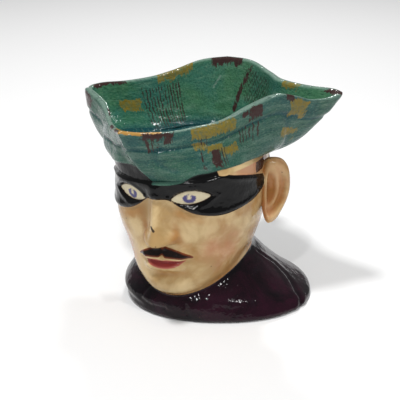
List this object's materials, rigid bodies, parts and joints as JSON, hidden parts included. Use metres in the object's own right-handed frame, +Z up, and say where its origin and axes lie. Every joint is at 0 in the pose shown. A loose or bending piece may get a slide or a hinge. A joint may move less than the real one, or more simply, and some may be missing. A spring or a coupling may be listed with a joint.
{
  "type": "toby jug",
  "caption": "Hollow glazed earthenware character jug: a masked head in a cocked hat on a turned collar, with a loop handle behind.",
  "frame": {"origin": "On the flat underside, below the middle of the head, where the head's upright axis meets the surface the jug stands on", "axes": "+Z up, -Y the way the face looks, +X the figure's left side"},
  "size_m": [0.1793, 0.1526, 0.1376],
  "materials": {
    "glaze": "glossy hand-painted glaze"
  },
  "bodies": {
    "root": {"jug": "glaze"}
  },
  "joints": []
}
